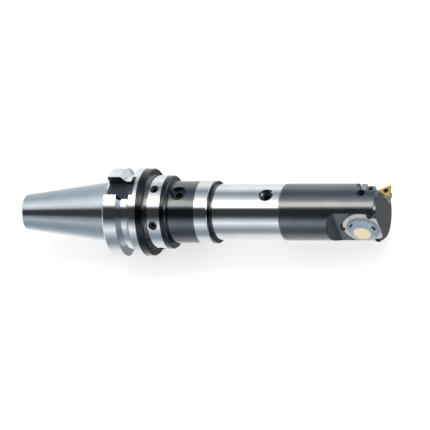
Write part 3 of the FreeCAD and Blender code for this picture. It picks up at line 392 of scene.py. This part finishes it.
FINISHES = [
    (zoned("holder_finish", [FLANGE_RING, NECK], FLANGE_AND_COLLAR_RINGS, slots=True), ["basic_holder"]),
    (zoned("bar_finish", [BAR_SHOULDER], BAR_SHOULDER), ["extension_bar"]),
    (black_oxide("head_finish"), ["head_body"]),
    (steel("steel_finish"),
     ["extension_clamp_pin", "extension_drive_pin", "head_clamp_pin", "head_drive_pin", "slide", "slide_key",
      "lead_screw", "thrust_washer", "insert_holder"]),
    (grained("screw_finish", SCREW_BLACK, roughness=0.34),
     ["balance_screws", "holder_clamp_screw", "holder_counter_screw", "extension_clamp_screw",
      "extension_counter_screw", "slide_lock_screw", "retaining_ring", "flange_screws", "dial_set_screw",
      "insert_screw", "holder_screw"]),
    (grained("dial_finish", DIAL_BLUE, roughness=0.40, metallic=0.45, grain=900.0, depth=0.002 * MM,
             marks=graduations), ["dial"]),
    (grained("cap_finish", CAP_CREAM, roughness=0.34, metallic=0.25, grain=700.0, depth=0.002 * MM),
     ["dial_cap"]),
    (grained("ring_finish", SATIN_GREY, roughness=0.42, metallic=0.5, grain=900.0, depth=0.002 * MM,
             marks=index_line), ["bearing_flange"]),
    (grained("insert_finish", INSERT_GOLD, roughness=0.32, metallic=0.7, grain=1500.0, depth=0.003 * MM),
     ["insert"]),
    (grained("brass_finish", BRASS, roughness=0.30), ["lock_pad"]),
    (grained("rubber_finish", RUBBER, roughness=0.60, metallic=0.0, grain=500.0, depth=0.01 * MM),
     ["extension_seal_ring", "head_seal_ring", "slide_seal_ring"]),
]
for finish, names in FINISHES:
    for node_name in names:
        dress(nodes[node_name], finish)


# The camera of the photograph: its axes, its picture in pixels, the size of a pixel at the tool, the
# picture's column and row of the head's front face, and how far behind that face it aims
RIGHT = Vector((0.948, 0.1954, -0.25)).normalized()
UP = Vector((0.0, 0.788, 0.6157))
UP = (UP - RIGHT * UP.dot(RIGHT)).normalized()
BACK = RIGHT.cross(UP).normalized()
IMAGE = 430
PIXEL = 0.716 * MM
FACE_COLUMN = 383.0
FACE_ROW = 212.0
AIM_DEPTH = 40.3 * MM
DISTANCE = 10.0
CLIP = (0.1, 60.0)
SENSOR = 36.0


def make_camera():
    """A long lens that sees the middle of the head's front face at its column and row."""
    camera = bpy.data.cameras.new("camera")
    camera.sensor_width = SENSOR
    camera.lens = SENSOR * DISTANCE / (IMAGE * PIXEL)
    camera.clip_start, camera.clip_end = CLIP
    item = bpy.data.objects.new("camera", camera)
    scene.collection.objects.link(item)
    face = Vector((HEAD_FRONT, 0.0, 0.0))
    aside = RIGHT * ((IMAGE / 2 - FACE_COLUMN) * PIXEL)
    lift = UP * ((FACE_ROW - IMAGE / 2) * PIXEL)
    target = face + aside + lift - BACK * AIM_DEPTH
    turn = Matrix((RIGHT, UP, BACK)).transposed().to_4x4()
    item.matrix_world = Matrix.Translation(target + BACK * DISTANCE) @ turn
    scene.camera = item


# The floor: it carries the flange, keeps a light shadow and glows a little, so that it stays white
MIDDLE = Vector((0.07, 0.0, 0.0))
FLOOR_HALF = 3.0
FLOOR_GAP = 0.2 * MM
FLOOR_ROUGHNESS = 0.9
FLOOR_GLOW = 0.62


def make_floor():
    mesh = bpy.data.meshes.new("floor")
    shape = bmesh.new()
    bmesh.ops.create_grid(shape, x_segments=1, y_segments=1, size=FLOOR_HALF)
    shape.to_mesh(mesh)
    shape.free()
    item = bpy.data.objects.new("floor", mesh)
    item.location = (MIDDLE.x, MIDDLE.y, -FLANGE_RADIUS - FLOOR_GAP)
    scene.collection.objects.link(item)
    shader = Shader("floor_finish")
    glow = shader.node("ShaderNodeEmission")
    shader.feed(glow.inputs["Strength"], FLOOR_GLOW)
    sum_of_both = shader.node("ShaderNodeAddShader")
    shader.feed(sum_of_both.inputs[0], shader.surface(FLOOR_GREY, metallic=0.0, roughness=FLOOR_ROUGHNESS))
    shader.feed(sum_of_both.inputs[1], glow.outputs[0])
    mesh.materials.append(shader.finish(sum_of_both.outputs[0]))
    item.visible_glossy = False


# The studio's axes: along the tool, towards the camera's side, upwards from it and straight down
ALONG = Vector((1.0, 0.0, 0.0))
SIDE = (BACK - ALONG * BACK.dot(ALONG)).normalized()
RISE = SIDE.cross(-ALONG).normalized()
if RISE.dot(UP) < 0.0:
    RISE = -RISE
DOWN = Vector((0.0, 0.0, -1.0))

# The studio as polished metal sees it: angle round the tool in degrees, from the camera's side
# upwards, brightness there and its warmth. Long strips and a dark flag run along the tool.
STUDIO = [
    (-180.0, 0.95, 0.0), (-150.0, 1.15, 0.1), (-122.0, 1.20, 0.2), (-106.0, 0.85, 0.1), (-92.0, 0.46, -0.5),
    (-76.0, 0.46, -0.6), (-60.0, 0.85, -0.2), (-48.0, 1.36, 0.2), (-36.0, 0.86, -0.4), (-27.0, 0.36, -0.5),
    (-18.0, 0.075, -0.3), (-12.0, 0.050, 0.0), (9.0, 0.050, 0.0), (14.0, 0.30, -0.5), (20.0, 2.1, 0.5),
    (25.0, 4.6, 1.4), (37.0, 4.1, 2.0), (44.0, 2.1, 1.2), (54.0, 1.12, 0.2), (68.0, 0.64, -0.4),
    (84.0, 0.42, -0.6), (98.0, 0.84, 0.1), (116.0, 1.36, 0.4), (150.0, 1.05, 0.0), (180.0, 0.95, 0.0),
]
# The same beyond the tool's rear end, which the taper's cone reflects
TOWARDS_TAPER = [
    (-180.0, 1.10, 0.0), (-145.0, 1.15, -0.1), (-110.0, 0.58, -0.7), (-86.0, 0.43, -0.9), (-66.0, 0.50, -0.8),
    (-48.0, 0.68, -0.6), (-31.0, 0.42, -0.7), (-18.0, 0.085, -0.3), (-12.0, 0.055, 0.0), (6.0, 0.055, 0.0),
    (12.0, 0.16, -0.4), (22.0, 0.84, -0.6), (38.0, 1.20, -0.1), (56.0, 1.00, -0.3), (70.0, 0.76, -0.6),
    (88.0, 0.62, -0.8), (110.0, 0.66, -0.6), (145.0, 0.82, -0.3), (180.0, 1.0, 0.0),
]
BRIGHTEST = 4.6
COOL = (0.86, 0.97, 1.08)
WARM = (1.08, 0.99, 0.86)
# The studio's low corner in front of the tool, where its flat front faces look, is darker
CORNER_LEVEL = 0.30
# Where one part of the studio gives way to another, as the direction's share along the axis
FRONT_FADE = (-0.15, 0.10)
LOW_FADE = (0.50, 0.66)
TAPER_FADE = (-0.35, -0.43)
SOFT_LIGHT = 0.85


def studio_stops(table):
    """The table as stops of a colour ramp, leaning cool below zero warmth and warm above."""
    stops = []
    for angle, level, warmth in table:
        lean = WARM if warmth > 0.0 else COOL
        colour = tuple(level / BRIGHTEST * (1.0 + abs(warmth) * (part - 1.0)) for part in lean)
        stops.append(((angle + 180.0) / 360.0, colour + (1.0,)))
    return stops


def make_world():
    """White for the camera, even for soft light, and striped for polished metal."""
    world = bpy.data.worlds.new("studio")
    scene.world = world
    world.use_nodes = True
    graph = Graph(world.node_tree)

    def background(colour, strength):
        made = graph.node("ShaderNodeBackground")
        graph.feed(made.inputs["Color"], colour)
        graph.feed(made.inputs["Strength"], strength)
        return made.outputs[0]

    def choose(ray, otherwise, light):
        made = graph.node("ShaderNodeMixShader")
        for socket, value in zip(made.inputs, (path.outputs[ray], otherwise, light)):
            graph.feed(socket, value)
        return made.outputs[0]

    path = graph.node("ShaderNodeLightPath")
    direction = graph.node("ShaderNodeTexCoord").outputs["Generated"]
    rise, side, along, down = [graph.dot(direction, axis) for axis in (RISE, SIDE, ALONG, DOWN)]
    angle = graph.math("MULTIPLY_ADD", graph.math("ARCTAN2", rise, side), 0.5 / math.pi, 0.5)
    stripes, softer = [graph.ramp(angle, studio_stops(table)) for table in (STUDIO, TOWARDS_TAPER)]
    stripes = graph.mix(graph.fade(along, *TAPER_FADE), stripes, softer)
    corner = graph.both(graph.fade(along, *FRONT_FADE), graph.fade(down, *LOW_FADE))
    level = graph.math("MULTIPLY_ADD", corner, (CORNER_LEVEL - 1.0) * BRIGHTEST, BRIGHTEST)
    light = choose("Is Glossy Ray", background(WHITE, SOFT_LIGHT), background(stripes, level))
    light = choose("Is Camera Ray", light, background(WHITE, 1.0))
    graph.feed(graph.node("ShaderNodeOutputWorld").inputs["Surface"], light)


KEY_PLACE = MIDDLE + RISE * 1.1 + SIDE * 0.7 - ALONG * 0.1
KEY_SIZE = (1.6, 0.5)
KEY_POWER = 14.0


def make_key_light():
    light = bpy.data.lights.new("key_light", "AREA")
    light.shape = "RECTANGLE"
    light.size, light.size_y = KEY_SIZE
    light.energy = KEY_POWER
    item = bpy.data.objects.new("key_light", light)
    item.location = KEY_PLACE
    item.rotation_mode = "QUATERNION"
    item.rotation_quaternion = (MIDDLE - KEY_PLACE).to_track_quat("-Z", "Y")
    scene.collection.objects.link(item)
    item.visible_glossy = False


make_camera()
make_floor()
make_world()
make_key_light()
scene.view_settings.view_transform = "Standard"
